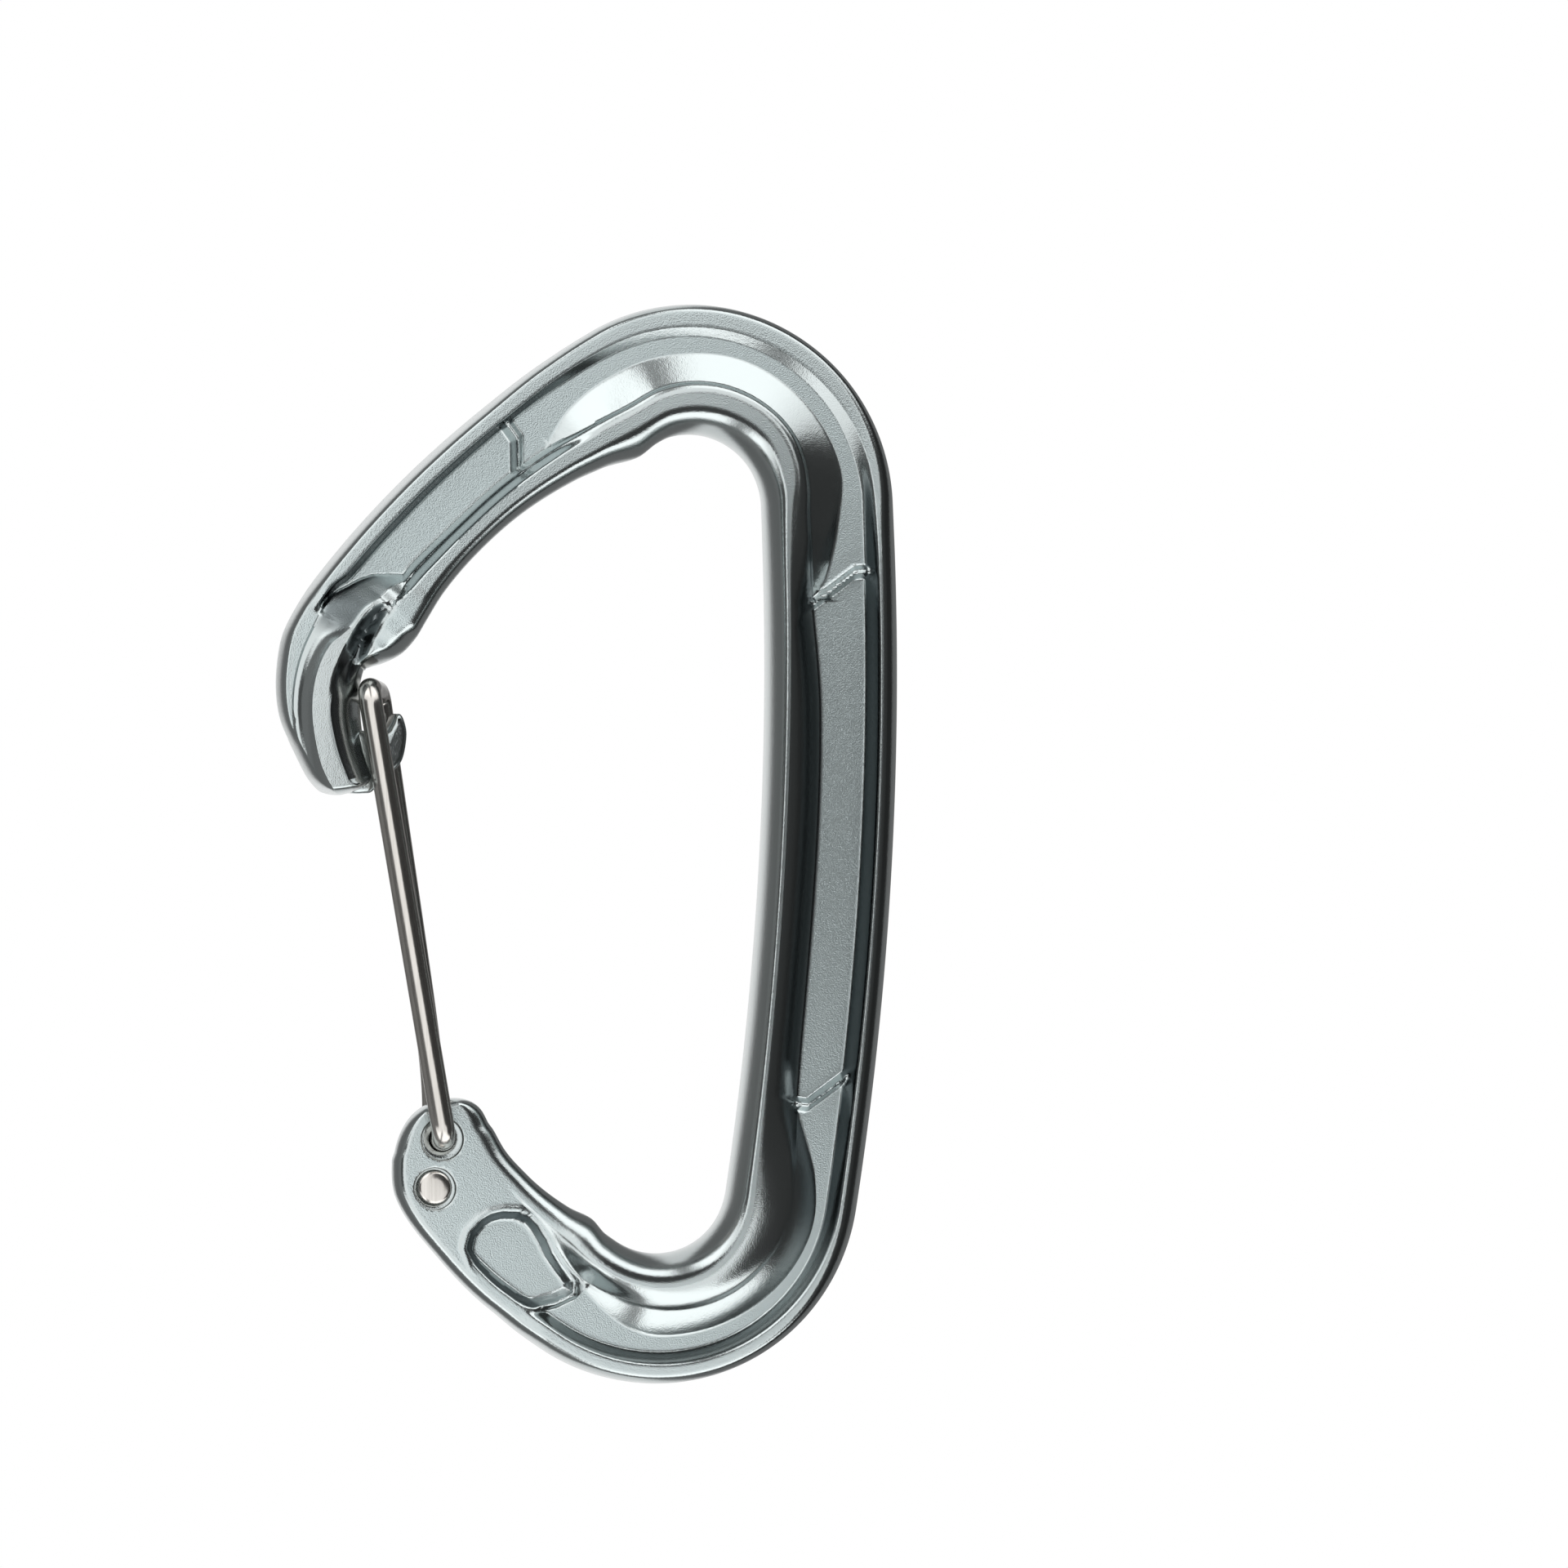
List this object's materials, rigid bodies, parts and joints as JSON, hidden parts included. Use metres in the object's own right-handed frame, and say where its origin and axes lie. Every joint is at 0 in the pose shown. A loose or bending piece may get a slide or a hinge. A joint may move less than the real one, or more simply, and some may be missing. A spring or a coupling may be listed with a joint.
{
  "type": "wire-gate carabiner",
  "caption": "D-shaped climbing carabiner with an I-beam forged alloy body and a sprung bent-wire gate that opens inwards",
  "frame": {"origin": "centre of the box round the closed carabiner, on the parting plane of the forged body", "axes": "+Y along the body towards the nose and the wide rope basket, +X towards the spine, +Z through the thickness, towards the face from which the gate wire enters the front pivot hole"},
  "size_m": [0.0552, 0.0948, 0.0096],
  "materials": {
    "forged_alloy": "tumbled and anodised grey-green: satin sheen on the bead and flanges, matte blasted web and pockets",
    "gate_wire": "drawn stainless wire, smooth with a soft shine"
  },
  "bodies": {
    "carabiner_body": {"body": "forged_alloy"},
    "gate_front": {"gate_wire_front": "gate_wire"},
    "gate_rear": {"gate_wire_rear": "gate_wire"}
  },
  "joints": [
    {"name": "gate", "type": "hinge", "parent": "carabiner_body", "child": "gate_front", "pos_m": [-0.01331, -0.02587, 0], "axis": [0, 0, -1], "range_deg": [0, 48], "stiffness_Nm_per_rad": 0.22, "springref_deg": -57.3},
    {"name": "gate_wire_twist", "type": "hinge", "parent": "gate_front", "child": "gate_rear", "pos_m": [-0.01938, 0.01366, 0], "axis": [0, 0, -1], "range_deg": [-4.8, 0]}
  ],
  "couplings": [
    {"joint": "gate_wire_twist", "follows": "gate", "ratio": -0.098}
  ]
}
